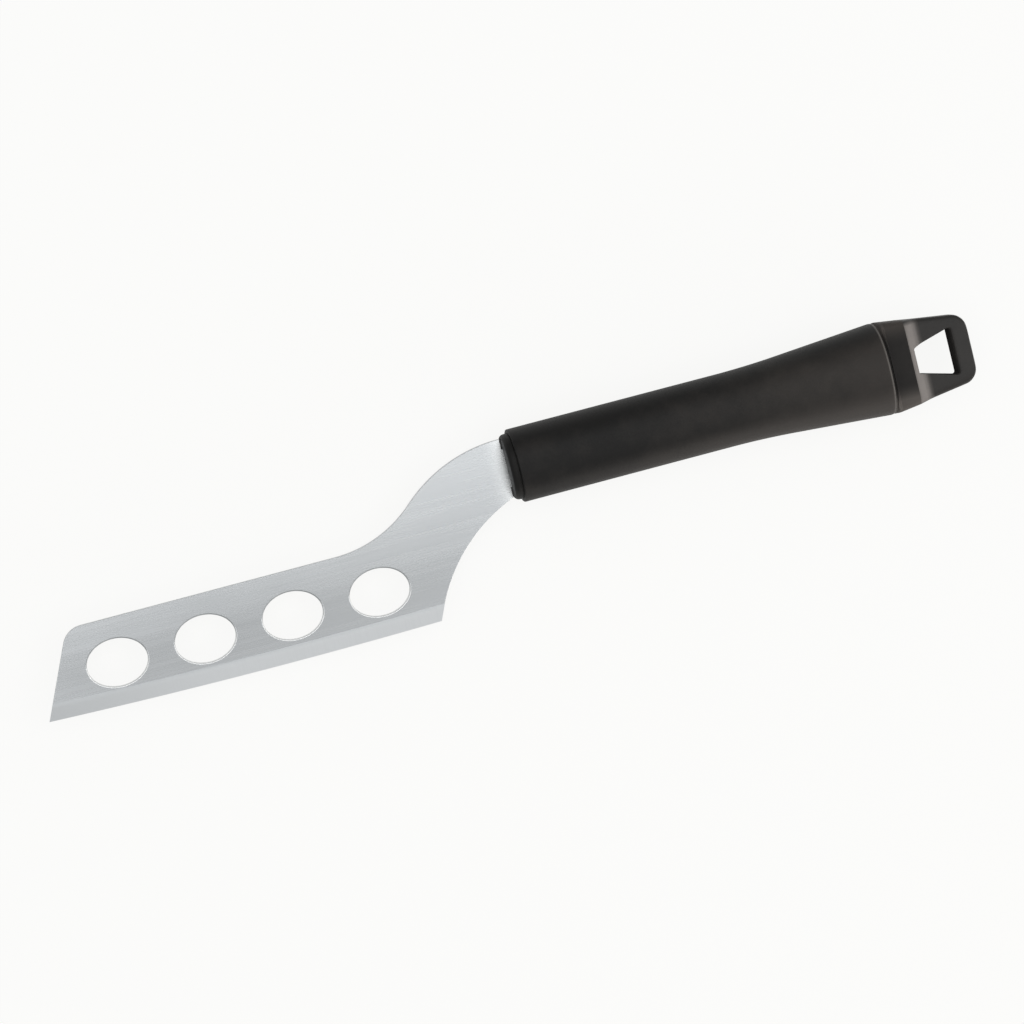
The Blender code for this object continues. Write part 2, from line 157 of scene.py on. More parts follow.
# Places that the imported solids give
GRIP_LOW, GRIP_HIGH = (Vector(corner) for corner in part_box("grip_sleeve"))
COLLAR_LOW, COLLAR_HIGH = (Vector(corner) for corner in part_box("front_collar"))
CAP_HIGH = Vector(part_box("end_cap")[1])
BLADE_HIGH = Vector(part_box("blade")[1])
AXIS = (GRIP_LOW + GRIP_HIGH) / 2
PLACE = Vector((COLLAR_LOW.x - FIT_GAP, AXIS.y, AXIS.z))
GRIP_FRONT = GRIP_LOW.x - PLACE.x
GRIP_BACK = GRIP_HIGH.x - PLACE.x
GRIP_REAR = (GRIP_HIGH.y - AXIS.y, GRIP_HIGH.z - AXIS.z)
BORE = tuple(half - GRIP_WALL for half in GRIP_FORE)
PLUG = tuple(half - FIT_GAP for half in BORE)
COLLAR = (COLLAR_HIGH.y - AXIS.y, COLLAR_HIGH.z - AXIS.z)
COLLAR_FRONT = COLLAR_LOW.x - PLACE.x
COLLAR_END = COLLAR_HIGH.x - PLACE.x
CAP_FRONT = GRIP_BACK + FIT_GAP
CAP_END = CAP_HIGH.x - PLACE.x
CAP_LENGTH = CAP_END - CAP_FRONT
TANG_END = BLADE_HIGH.x - PLACE.x
CORE_NODES = ("core_upper", "core_lower")
PIN_NODES = ("tang_pin_front", "tang_pin_rear")
HEEL = Vector((-NECK_REACH, -SPINE_DROP - BLADE_HEIGHT))
TIP = Vector((HEEL.x - BLADE_LENGTH, HEEL.y + TIP_RISE))
SPINE_Y = -SPINE_DROP
HOLE_ROW_Y = SPINE_Y - HOLE_ROW_DROP
BAND_END = CAP_FRONT + BAND_LENGTH

# Material slots beyond the first: on the blade, and on the cap
GROUND, PUNCHED = 1, 2
BAND, LOOP_WALL = 1, 2

# Where the blade's shading falls away: axis, start, distance over which it bends, slope reached
FACE_BOWS = (
    ("X", -0.045, 0.020, 0.012),
    ("X", -0.120, -0.020, 0.040),
    ("Y", -0.026, 0.010, 0.062),
    ("Y", -0.026, -0.008, 0.030),
)
BOW_REACH = 12

# Roll of the ground strip into the flat: its end, as a share of the half thickness, and its height
ROLL_END = 0.78
ROLL_HEIGHT = 0.000094

# Marks per metre along X, Y and Z
FINE_BRUSHING = (30, 4200, 4200)
BROAD_BRUSHING = (9, 620, 620)
GRIND_MARKS = (3600, 40, 40)
GRIND_TURN = math.radians(4)
SCORING = (900, 900, 60)
TURNING = (300, 300, 6000)
SWIRL = (40, 160, 160)

# Colours: the two ends of a tone, or a single one
BRUSHED = (0.566, 0.588, 0.606, 1), (0.585, 0.606, 0.624, 1)
# Painted light: the pale steel at the blade's root by the collar
ROOT_PAINTED_LIGHT = (0.80, 0.82, 0.83, 1)
FRESH_GRIND = (0.695, 0.717, 0.734, 1), (0.725, 0.747, 0.764, 1)
# Painted shade: the ground strip's colour toward the tip
TIP_GRIND_SHADE = (0.600, 0.620, 0.635, 1)
ROLLED_GRIND = (0.584, 0.606, 0.625, 1)
# Painted light on the holes' walls and rims: the bright tone on the cutting edge's side, the dark one
# on the spine's side
SCORED = (0.86, 0.875, 0.885, 1), (0.93, 0.94, 0.945, 1)
SCORED_SHADE = (0.40, 0.418, 0.432, 1)
TURNED = (0.47, 0.48, 0.49, 1), (0.57, 0.58, 0.59, 1)
# The grip's mottle, whose lighter end also carries painted light; a painted light on its lower side; a
# painted highlight on its rear rim
GRIP_MOTTLE_AND_LIGHT = (0.0035, 0.0032, 0.0030, 1), (0.0310, 0.0266, 0.0236, 1)
GRIP_UNDER_LIGHT = (0.0420, 0.0365, 0.0330, 1)
GRIP_RIM_HIGHLIGHT = (0.105, 0.097, 0.091, 1)
COLLAR_BLOOM = (0.0042, 0.0039, 0.0037, 1), (0.0100, 0.0090, 0.0082, 1)
TRIM_BLOOM = (0.0145, 0.0132, 0.0124, 1), (0.0230, 0.0208, 0.0188, 1)
# Painted highlight on the cap's slope behind the band
TRIM_SLOPE_HIGHLIGHT = (0.1780, 0.1630, 0.1550, 1)
BAND_BLOOM = (0.0068, 0.0059, 0.0055, 1), (0.0128, 0.0112, 0.0102, 1)
# Painted light at the band's two ends
BAND_SPINE_END_LIGHT = (0.0440, 0.0380, 0.0340, 1)
BAND_EDGE_END_LIGHT = (0.0780, 0.0695, 0.0635, 1)
# The loop's walls: a lighter colour for the little light they get, on a copy of the cap's black
# without sheen that keeps them dark as in shade
LOOP_BLOOM = (0.0320, 0.0305, 0.0300, 1), (0.0440, 0.0415, 0.0400, 1)
CORE_SWIRL = (0.13, 0.13, 0.13, 1), (0.18, 0.18, 0.18, 1)
STUDIO_WHITE = (1, 1, 0.99, 1)

# Where a colour sets in and where it is full, along X or Y, with its shares and shifts
# Painted light on the blade: lighter toward the heel, brightest at the root by the collar
HEEL_RISE_X = (-0.095, -0.060)
HEEL_FALL_X = (-0.012, -0.035)
HEEL_LIGHT_SHARE = 0.10
ROOT_X = (-0.0065, -0.0005)
# Where the painted shade on the ground strip sets in toward the tip
TIP_X = (-0.095, -0.150)
# Where the holes' rims turn from painted shade to painted highlight
LIT_RIM_Y = (HOLE_ROW_Y + 0.0025, HOLE_ROW_Y - 0.0030)
# Painted light and shade on the grip: lighter toward the rear, darker at the front and along the
# spine's side, lighter on the lower side, a highlight on the rear rim
REAR_X = (0.060, 0.125)
FORE_X = (0.045, 0.005)
FACING_Y = (0.0115, 0.0060)
FACING_FLARE = 0.0022
CROWN_Y = (-0.0060, 0.0030)
UNDER_X = (0.005, 0.080)
UNDER_Y = (-0.0045, -0.0105)
UNDER_SHARES = (0.1, 0.9)
RIM_X = (GRIP_BACK - 0.0009, GRIP_BACK - 0.0004)
# Where the painted highlight on the cap's slope lies, and how much of it
SLOPE_HIGHLIGHT_X = (BAND_END + 0.0052, BAND_END + 0.0022)
SLOPE_HIGHLIGHT_MIDDLE_Y = -0.0006
SLOPE_HIGHLIGHT_OFF = (0.0132, 0.0118)
SLOPE_HIGHLIGHT_SHARE = 0.85
# Where the painted light at the band's ends sets in
SPINE_END_Y = (0.0060, 0.0120)
EDGE_END_Y = (-0.0055, -0.0105)

# A noise's usual span, the spans that the mottled tone of black plastic takes, and the painted light
# and shade that add to it on the grip
NOISE_SPAN = (0.3, 0.7)
GRIP_SPAN = (0.40, 0.94)
CAP_SPAN = (0.36, 0.64)
REAR_PAINTED_LIGHT = 0.40
CROWN_PAINTED_LIGHT = 0.20
FACING_PAINTED_LIGHT = 0.10
FORE_PAINTED_SHADE = -0.05
TONE_OFFSET = -0.12

# Grain of the black plastic: its size and depth
GRIP_GRAIN = (0.00035, 0.00006)
TRIM_GRAIN = (0.00025, 0.00003)
BAND_GRAIN = (0.00025, 0.00004)

# Studio
FLOOR_SIZE = 8.0
FLOOR_DROP = 0.0002
FLOOR_COLOUR = (0.86, 0.86, 0.85, 1)
FLOOR_LIFT = 0.88
FLOOR_GLOSSY_LIFT = 0.35
WORLD_LEVEL = 0.48
BACKDROP_LEVEL = 0.97
CAMERA_LENS = 120
CAMERA_SENSOR = 36
CAMERA_PLACE = Vector((-0.12537, 0.09380, 1.0196))
CAMERA_TURN = tuple(math.radians(angle) for angle in (-4.0727, -8.1751, -14.2468))
WARM = (1, 0.95, 0.90)
WHITE = (1, 1, 1)

# Soft boxes: place, aim, width, height, power and colour
SOFT_BOXES = {
    "right_box": ((0.72, -0.10, 1.5), (0.72, -0.10, 0), 0.6, 0.9, 3.0, WHITE),
    "back_box": ((0.0, 0.42, 1.5), (0.0, 0.42, 0), 1.3, 0.58, 3.8, WHITE),
    "left_box": ((-0.72, -0.10, 1.5), (-0.72, -0.10, 0), 0.5, 0.9, 2.0, WHITE),
    "near_box": ((0.0, -0.62, 1.5), (0.0, -0.62, 0), 1.2, 0.5, 0.9, WHITE),
    "front_box": ((0.50, -0.85, 0.18), (0.12, 0, 0), 1.2, 0.34, 2.8, WARM),
    "end_box": ((1.1, -0.05, 0.17), (0.14, 0, 0), 0.7, 0.32, 3.2, WARM),
}


class Value:
    """A shader socket whose arithmetic adds Math nodes to its tree."""

    def __init__(self, shader, socket):
        self.shader = shader
        self.socket = socket

    def math(self, operation, first, second):
        return self.shader.node("ShaderNodeMath", {"operation": operation}, {0: first, 1: second})

    def __add__(self, other):
        return self.math("ADD", self, other)

    def __sub__(self, other):
        return self.math("SUBTRACT", self, other)

    def __mul__(self, other):
        return self.math("MULTIPLY", self, other)

    def __truediv__(self, other):
        return self.math("DIVIDE", self, other)

    def __rsub__(self, other):
        return self.math("SUBTRACT", other, self)

    def __rtruediv__(self, other):
        return self.math("DIVIDE", other, self)

    __radd__ = __add__
    __rmul__ = __mul__


class Shader:
    """The node tree of a material or of the world."""

    def __init__(self, owner):
        owner.use_nodes = True
        self.tree = owner.node_tree
        self.tree.nodes.clear()

    def node(self, kind, settings=None, inputs=None, output=0):
        made = self.tree.nodes.new(kind)
        for name, value in (settings or {}).items():
            setattr(made, name, value)
        for name, value in (inputs or {}).items():
            socket = made.inputs[name]
            if isinstance(value, Value):
                self.tree.links.new(value.socket, socket)
            else:
                socket.default_value = value
        return Value(self, made.outputs[output])

    def place(self, scale=(1, 1, 1), turn=0.0):
        """Object coordinates, stretched or turned about Z."""
        whole = self.node("ShaderNodeTexCoord", output="Object")
        return self.node(
            "ShaderNodeMapping", {},
            {"Vector": whole, "Scale": scale, "Rotation": (0, 0, turn)},
        )

    def along(self, axis):
        """One of the coordinates that the pieces are drawn in."""
        whole = self.node("ShaderNodeSeparateXYZ", {}, {0: self.place()}, output=axis)
        return whole - getattr(PLACE, axis.lower())

    def noise(self, place, scale=1.0, detail=2.0, roughness=0.5):
        return self.node(
            "ShaderNodeTexNoise", {},
            {"Vector": place, "Scale": scale, "Detail": detail, "Roughness": roughness},
        )

    def ramp(self, value, low, high, to_low=0.0, to_high=1.0):
        """A value's stretch from low to high, spread over another range and held at its ends."""
        return self.node(
            "ShaderNodeMapRange", {"clamp": True},
            {"Value": value, "From Min": low, "From Max": high, "To Min": to_low, "To Max": to_high},
        )

    def spread(self, noise, low, high):
        """A noise's usual span, spread over another range."""
        return self.ramp(noise, *NOISE_SPAN, low, high)

    def blend(self, share, first, second):
        return self.node(
            "ShaderNodeMix", {"data_type": "RGBA"}, {0: share, 6: first, 7: second}, output=2,
        )

    def bump(self, height, strength, distance, under=None):
        inputs = {"Height": height, "Strength": strength, "Distance": distance}
        if under:
            inputs["Normal"] = under
        return self.node("ShaderNodeBump", {}, inputs)

    def surface(self, **inputs):
        named = {name.replace("_", " "): value for name, value in inputs.items()}
        body = self.node("ShaderNodeBsdfPrincipled", {}, named)
        self.node_out("ShaderNodeOutputMaterial", body)

    def node_out(self, kind, body):
        out = self.tree.nodes.new(kind)
        self.tree.links.new(body.socket, out.inputs["Surface"])


def make_material(name, finish):
    material = bpy.data.materials.new(name)
    finish(Shader(material))
    return material


def steel_tone(shader, marks, haze):
    """Share of the lighter steel: mostly the tool's marks, with some haze."""
    return shader.ramp(marks * 0.7 + haze * 0.3, 0.35, 0.65)


def satin_steel(shader):
    """Stainless steel brushed along the blade, with shading that bows a little, hazed by handling, and
    with painted light: lighter toward the heel and brightest at the root by the collar.
    """
    fine = shader.noise(shader.place(FINE_BRUSHING), detail=4.0, roughness=0.6)
    broad = shader.noise(shader.place(BROAD_BRUSHING), detail=3.0, roughness=0.55)
    haze = shader.noise(shader.place(), scale=22.0, detail=3.0)
    lines = fine * 0.6 + broad * 0.4
    brushed = shader.blend(steel_tone(shader, lines, haze), *BRUSHED)
    along = shader.along("X")
    # painted light: the steel lighter toward the heel and at the root by the collar
    heel = shader.ramp(along, *HEEL_RISE_X) * shader.ramp(along, *HEEL_FALL_X)
    root = shader.ramp(along, *ROOT_X)
    shader.surface(
        Base_Color=shader.blend(heel * HEEL_LIGHT_SHARE + root * root, brushed, ROOT_PAINTED_LIGHT),
        Metallic=1.0,
        Roughness=shader.spread(lines, 0.23, 0.27) + haze * 0.04,
        Normal=shader.bump(lines, strength=0.014, distance=0.00003, under=pressed_bow(shader)),
    )


def pressed_bow(shader):
    """Normal of a face that falls away a little toward the neck, the tip and both long edges."""
    height = 0.0
    for axis, start, bend, slope in FACE_BOWS:
        past = shader.ramp(shader.along(axis), start, start + bend * BOW_REACH, 0, BOW_REACH)
        height = height - past * past / (past + 1) * (slope * abs(bend))
    return shader.bump(height, strength=1.0, distance=1.0)


def ground_steel(shader):
    """The strip ground along the cutting edge, rolled into the flat, with marks running across it, and
    painted shade that darkens it toward the tip.
    """
    marks = shader.noise(shader.place(GRIND_MARKS, GRIND_TURN), detail=4.0, roughness=0.6)
    haze = shader.noise(shader.place(), scale=30.0, detail=3.0)
    off = shader.along("Z") / (BLADE_THICKNESS / 2)
    rolled = shader.ramp(off * off, ROLL_END ** 2, 1)
    roll = shader.bump(rolled * rolled * -ROLL_HEIGHT, strength=1.0, distance=1.0)
    fresh = shader.blend(steel_tone(shader, marks, haze), *FRESH_GRIND)
    # painted shade: the ground strip darker toward the tip
    ground = shader.blend(shader.ramp(shader.along("X"), *TIP_X), fresh, TIP_GRIND_SHADE)
    shader.surface(
        Base_Color=shader.blend(rolled, ground, ROLLED_GRIND),
        Metallic=1.0,
        Roughness=shader.spread(marks, 0.30, 0.40),
        Normal=shader.bump(marks, strength=0.03, distance=0.00003, under=roll),
    )


def punched_steel(shader):
    """The finely scored walls and rims of the blade's holes, with a painted highlight on the cutting
    edge's side and painted shade on the spine's side.
    """
    scored = shader.noise(shader.place(SCORING), detail=3.0, roughness=0.55)
    # painted highlight toward the cutting edge's side, painted shade toward the spine's side
    lit_rims = shader.ramp(shader.along("Y"), *LIT_RIM_Y)
    shader.surface(
        Base_Color=shader.blend(lit_rims, SCORED_SHADE, shader.blend(scored, *SCORED)),
        Metallic=1.0,
        Roughness=shader.spread(scored, 0.40, 0.50),
        Normal=shader.bump(scored, strength=0.05, distance=0.00002),
    )


def pin_steel(shader):
    """Turned steel of the cross pins."""
    turned = shader.noise(shader.place(TURNING))
    shader.surface(
        Base_Color=shader.blend(turned, *TURNED),
        Metallic=1.0,
        Roughness=shader.spread(turned, 0.24, 0.36),
        Normal=shader.bump(turned, strength=0.1, distance=0.00002),
    )


def moulded_tone(shader, span, extra=0.0):
    """Share of the lighter tone on black plastic: small spots within broader patches, with any extra
    added.
    """
    spots = shader.noise(shader.place(), scale=140.0, detail=5.0, roughness=0.65)
    patches = shader.noise(shader.place(), scale=38.0, detail=3.0)
    return shader.ramp(spots * 0.55 + patches * 0.45 + extra, *span)


def moulded_black(shader, colour, roughness, sheen, grain):
    """Finely grained plastic."""
    size, depth = grain
    bumps = shader.noise(shader.place(), scale=1 / size, roughness=0.6)
    shader.surface(
        Base_Color=colour,
        Roughness=shader.spread(bumps, -0.05, 0.05) + roughness,
        Specular_IOR_Level=sheen,
        Normal=shader.bump(bumps, strength=0.35, distance=depth),
    )


def grip_black(shader):
    """Matt black with a patchy brown mottle and painted light: lighter toward the rear, most above its
    middle there, darker at the front and along the spine's side, lighter on the lower side, with a
    painted highlight on the rear rim.
    """
    along, off = shader.along("X"), shader.along("Y")
    # painted light and shade: lighter toward the rear and above its middle there, darker at the front
    # and along the spine's side
    rear = shader.ramp(along, *REAR_X)
    fore = shader.ramp(along, *FORE_X)
    facing = shader.ramp(off - rear * rear * FACING_FLARE, *FACING_Y)
    crown = shader.ramp(off, *CROWN_Y) * rear
    painted_light = rear * facing * (REAR_PAINTED_LIGHT + crown * CROWN_PAINTED_LIGHT) + facing * FACING_PAINTED_LIGHT
    tone = moulded_tone(shader, GRIP_SPAN, painted_light + fore * FORE_PAINTED_SHADE + TONE_OFFSET)
    # painted light on the grip's lower side, growing toward the rear
    under = shader.ramp(off, *UNDER_Y) * shader.ramp(along, *UNDER_X, *UNDER_SHARES)
    mottle_and_light = shader.blend(under, shader.blend(tone, *GRIP_MOTTLE_AND_LIGHT), GRIP_UNDER_LIGHT)
    # painted highlight along the grip's rear rim
    colour = shader.blend(shader.ramp(along, *RIM_X), mottle_and_light, GRIP_RIM_HIGHLIGHT)
    moulded_black(shader, colour, roughness=0.53 + tone * 0.04, sheen=0.28, grain=GRIP_GRAIN)


def collar_black(shader):
    """Plain matt black of the collar."""
    colour = shader.blend(moulded_tone(shader, GRIP_SPAN), *COLLAR_BLOOM)
    moulded_black(shader, colour, roughness=0.55, sheen=0.25, grain=GRIP_GRAIN)


def trim_black(shader):
    """Semi-matt black of the end cap, with a painted highlight on the slope behind its band."""
    tone = moulded_tone(shader, CAP_SPAN)
    plain = shader.blend(tone, *TRIM_BLOOM)
    # painted highlight on the slope behind the band, held off the cap's sides
    off = shader.along("Y") - SLOPE_HIGHLIGHT_MIDDLE_Y
    within = shader.ramp(off * off, *(limit ** 2 for limit in SLOPE_HIGHLIGHT_OFF))
    slope_highlight = shader.ramp(shader.along("X"), *SLOPE_HIGHLIGHT_X) * within
    share = slope_highlight * (SLOPE_HIGHLIGHT_SHARE + tone * (1 - SLOPE_HIGHLIGHT_SHARE))
    colour = shader.blend(share, plain, TRIM_SLOPE_HIGHLIGHT)
    moulded_black(shader, colour, roughness=0.45, sheen=0.34, grain=TRIM_GRAIN)


def band_black(shader):
    """Duller, darker black of the cap's band, with painted light at its ends, most on the cutting
    edge's side.
    """
    off = shader.along("Y")
    # painted light at both ends of the band, more on the cutting edge's side
    spine_end = shader.ramp(off, *SPINE_END_Y)
    edge_end = shader.ramp(off, *EDGE_END_Y)
    plain = shader.blend(moulded_tone(shader, CAP_SPAN), *BAND_BLOOM)
    colour = shader.blend(spine_end * spine_end, plain, BAND_SPINE_END_LIGHT)
    colour = shader.blend(edge_end * edge_end, colour, BAND_EDGE_END_LIGHT)
    moulded_black(shader, colour, roughness=0.60, sheen=0.26, grain=BAND_GRAIN)


def loop_black(shader):
    """Black of the walls inside the hanging loop: a copy of the cap's plastic without sheen that keeps
    them dark as in shade, its colour raised for the little light they get.
    """
    colour = shader.blend(moulded_tone(shader, CAP_SPAN), *LOOP_BLOOM)
    moulded_black(shader, colour, roughness=0.70, sheen=0.0, grain=TRIM_GRAIN)


def core_grey(shader):
    """Grey plastic as it comes from the mould."""
    swirl = shader.noise(shader.place(SWIRL), detail=4.0)
    shader.surface(
        Base_Color=shader.blend(swirl, *CORE_SWIRL),
        Roughness=shader.spread(swirl, 0.5, 0.65),
        Normal=shader.bump(swirl, strength=0.2, distance=0.00005),
    )


def studio_floor(shader):
    """Pale floor that keeps the shadow, mixed with white for the camera and for reflections."""
    camera, glossy = (
        shader.node("ShaderNodeLightPath", output=ray) for ray in ("Is Camera Ray", "Is Glossy Ray")
    )
    seen = camera * FLOOR_LIFT + glossy * FLOOR_GLOSSY_LIFT
    lit = shader.node("ShaderNodeBsdfDiffuse", {}, {"Color": FLOOR_COLOUR})
    lifted = shader.node("ShaderNodeEmission", {}, {"Color": STUDIO_WHITE, "Strength": 1.0})
    mixed = shader.node("ShaderNodeMixShader", {}, {0: seen, 1: lit, 2: lifted})
    shader.node_out("ShaderNodeOutputMaterial", mixed)


class Pen:
    """Draws an outline in the XY plane as edges of a bmesh, from where it stands."""

    def __init__(self, builder, start):
        self.builder = builder
        self.first = builder.verts.new((*start, 0))
        self.vertex = self.first

    def line(self, end):
        drawn = bmesh.ops.extrude_vert_indiv(self.builder, verts=[self.vertex])
        self.vertex = drawn["verts"][0]
        self.vertex.co = (*end, 0)

    def arc(self, centre, turn, steps):
        drawn = bmesh.ops.spin(
            self.builder, geom=[self.vertex], cent=(*centre, 0), axis=(0, 0, 1),
            angle=turn, steps=steps,
        )
        self.vertex = next(item for item in drawn["geom_last"] if isinstance(item, bmesh.types.BMVert))

    def close(self):
        self.builder.edges.new((self.vertex, self.first))


def angle_of(point, centre):
    return math.atan2(point.y - centre.y, point.x - centre.x)


def centre_through(first, last, radius):
    """Centre, on the left of the way from first to last, of the circle through both."""
    half = (last - first) / 2
    rise = math.sqrt(radius ** 2 - half.length_squared)
    return first + half + Vector((-half.y, half.x)).normalized() * rise


def finish_piece(name, builder, node, materials):
    """Moves a drawn piece to its place and puts it in the node's stead."""
    bmesh.ops.translate(builder, verts=builder.verts, vec=PLACE)
    mesh = bpy.data.meshes.new(name)
    builder.to_mesh(mesh)
    builder.free()
    for material in materials:
        mesh.materials.append(material)
    piece = bpy.data.objects.new(name, mesh)
    bpy.context.collection.objects.link(piece)
    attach(piece, "root")
    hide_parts(node)


def shade_round(builder):
    """Smooth shading, with a crease wherever the surface turns sharply."""
    bmesh.ops.recalc_face_normals(builder, faces=builder.faces)
    for face in builder.faces:
        face.smooth = True
    for edge in builder.edges:
        edge.smooth = len(edge.link_faces) == 2 and edge.calc_face_angle() < HANDLE_CREASE


def edges_among(verts):
    """The edges that join two of these vertices."""
    kept = set(verts)
    return list({edge for vert in kept for edge in vert.link_edges if edge.other_vert(vert) in kept})


def draw_neck(pen):
    """From the shoulder down the crest and the hollow of the neck to the spine."""
    crest = Vector((0, NECK_WIDTH / 2 - NECK_CREST_RADIUS))
    hollow_y = SPINE_Y + NECK_HOLLOW_RADIUS
    reach = NECK_CREST_RADIUS + NECK_HOLLOW_RADIUS
    hollow = Vector((-math.sqrt(reach ** 2 - (hollow_y - crest.y) ** 2), hollow_y))
    slope = angle_of(hollow, crest)
    pen.line((0, NECK_WIDTH / 2))
    pen.arc(crest, slope - math.pi / 2, NECK_STEPS)
    pen.arc(hollow, math.pi / 2 - slope, NECK_STEPS)


def draw_tip(pen):
    """Along the spine and round the top corner of the tip."""
    down = Vector((-math.sin(TIP_SLANT), -math.cos(TIP_SLANT)))
    corner = TIP - down * (SPINE_Y - TIP.y) / math.cos(TIP_SLANT)
    half_angle = down.angle(Vector((1, 0))) / 2
    start = corner + Vector((TIP_CORNER_RADIUS / math.tan(half_angle), 0))
    pen.line(start)
    pen.arc(start - Vector((0, TIP_CORNER_RADIUS)), math.pi / 2 - TIP_SLANT, CORNER_STEPS)


def draw_tang(pen):
    half = TANG_WIDTH / 2
    inset = TANG_END - TANG_CORNER_RADIUS
    side = half - TANG_CORNER_RADIUS
    pen.line((0, -half))
    pen.line((inset, -half))
    pen.arc((inset, -side), math.pi / 2, CORNER_STEPS)
    pen.line((TANG_END, side))
    pen.arc((inset, side), math.pi / 2, CORNER_STEPS)
    pen.line((0, half))


def draw_flat(builder):
    """Draws the blade's flat face; returns the line where the grind begins and the edge's radius."""
    shoulder = Vector((0, -NECK_WIDTH / 2))
    heel_centre = centre_through(shoulder, HEEL, HEEL_ARC_RADIUS)
    rise = math.asin((heel_centre.y - HEEL.y - GRIND_WIDTH) / HEEL_ARC_RADIUS)
    heel_start = math.pi + rise
    grind_start = TIP + Vector((math.tan(TIP_SLANT), 1)) * GRIND_WIDTH
    grind_end = heel_centre + HEEL_ARC_RADIUS * Vector((math.cos(heel_start), math.sin(heel_start)))
    half_chord = (HEEL - TIP).length / 2
    edge_radius = (half_chord ** 2 + EDGE_BELLY ** 2) / (2 * EDGE_BELLY)

    pen = Pen(builder, grind_start)
    grind_centre = centre_through(grind_start, grind_end, edge_radius)
    belly = angle_of(grind_end, grind_centre) - angle_of(grind_start, grind_centre)
    pen.arc(grind_centre, belly, EDGE_STEPS)
    grind_line = list(builder.edges)
    pen.arc(heel_centre, angle_of(shoulder, heel_centre) - heel_start, NECK_STEPS)
    draw_tang(pen)
    draw_neck(pen)
    draw_tip(pen)
    pen.close()
    return grind_line, edge_radius


def draw_cutting_edge(builder, radius):
    """Draws the cutting edge from the tip to the heel and returns its edges."""
    before = set(builder.edges)
    centre = centre_through(TIP, HEEL, radius)
    Pen(builder, TIP).arc(centre, angle_of(HEEL, centre) - angle_of(TIP, centre), EDGE_STEPS)
    return [edge for edge in builder.edges if edge not in before]


def draw_oval(builder, centre, length, width):
    place = Matrix.Translation((*centre, 0)) @ Matrix.Diagonal((length / 2, width / 2, 1, 1))
    bmesh.ops.create_circle(builder, cap_ends=False, segments=HOLE_SIDES, radius=1, matrix=place)


def hole_centres():
    first = TIP.x + HOLE_TIP_INSET
    last = HEEL.x - HOLE_HEEL_INSET
    return [
        Vector((first + (last - first) * index / (HOLE_COUNT - 1), HOLE_ROW_Y))
        for index in range(HOLE_COUNT)
    ]


def make_blade(materials):
    builder = bmesh.new()
    grind_line, edge_radius = draw_flat(builder)
    for centre in hole_centres():
        draw_oval(builder, centre, HOLE_LENGTH, HOLE_WIDTH)
    for node in PIN_NODES:
        low, high = (Vector(corner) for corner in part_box(node))
        bore = high.x - low.x + 2 * FIT_GAP
        draw_oval(builder, ((low.x + high.x) / 2 - PLACE.x, 0), bore, bore)
    bmesh.ops.triangle_fill(builder, use_beauty=True, edges=builder.edges[:], normal=(0, 0, 1))
    inner = [edge for edge in builder.edges if len(edge.link_faces) == 2]
    bmesh.ops.dissolve_limit(builder, angle_limit=FILL_FLATNESS, verts=[], edges=inner)

    cutting_edge = draw_cutting_edge(builder, edge_radius)
    strip = bmesh.ops.bridge_loops(builder, edges=grind_line + cutting_edge)["faces"]
    for face in strip:
        face.material_index = GROUND
    keen = {vert for edge in cutting_edge for vert in edge.verts}
    for vert in builder.verts:
        vert.co.z = -(EDGE_THICKNESS if vert in keen else BLADE_THICKNESS) / 2
    drawn = bmesh.ops.extrude_face_region(builder, geom=builder.faces[:])
    for item in drawn["geom"]:
        if isinstance(item, bmesh.types.BMVert):
            item.co.z = -item.co.z
    bmesh.ops.recalc_face_normals(builder, faces=builder.faces)
    round_rims(builder)
    builder.normal_update()
    mark_holes(builder)
    crease_flats(builder)
    finish_piece("blade_satin", builder, "blade", materials)


def is_flat(face):
    return abs(face.normal.z) > FLAT_NORMAL


def is_in_hole(point):
    reach = HOLE_LENGTH / 2 + FIT_GAP
    return any((point.xy - centre).length < reach for centre in hole_centres())


def round_rims(builder):
    """Rounds the rims of both flat faces: the holes first, then the outline."""
    rims = [
        edge for edge in builder.edges
        if len(edge.link_faces) == 2
        and any(is_flat(face) for face in edge.link_faces)
        and any(abs(face.normal.z) < UPRIGHT_NORMAL for face in edge.link_faces)
    ]
    holes = [edge for edge in rims if is_in_hole(edge.verts[0].co)]
    outline = [edge for edge in rims if edge not in holes]
    for edges, rounding in ((holes, HOLE_ROUNDING), (outline, OUTLINE_ROUNDING)):
        bmesh.ops.bevel(
            builder, geom=edges, offset=rounding, affect="EDGES", segments=ROUNDING_STEPS,
            profile=0.5, material=-1,
        )


def mark_holes(builder):
    """Gives the walls and rims of the blade's holes their own material."""
    for face in builder.faces:
        if not is_flat(face) and is_in_hole(face.calc_center_median()):
            face.material_index = PUNCHED


def crease_flats(builder):
    """Smooth shading, except on the flats, along the ground strip and at sharp turns."""
    for face in builder.faces:
        face.smooth = not is_flat(face)
    for edge in builder.edges:
        flat = any(is_flat(face) for face in edge.link_faces)
        ground = [face.material_index for face in edge.link_faces].count(GROUND) == 1
        edge.smooth = not flat and not ground and edge.calc_face_angle(math.pi) < BLADE_CREASE


def power(value, squareness):
    return math.copysign(abs(value) ** (2 / squareness), value)


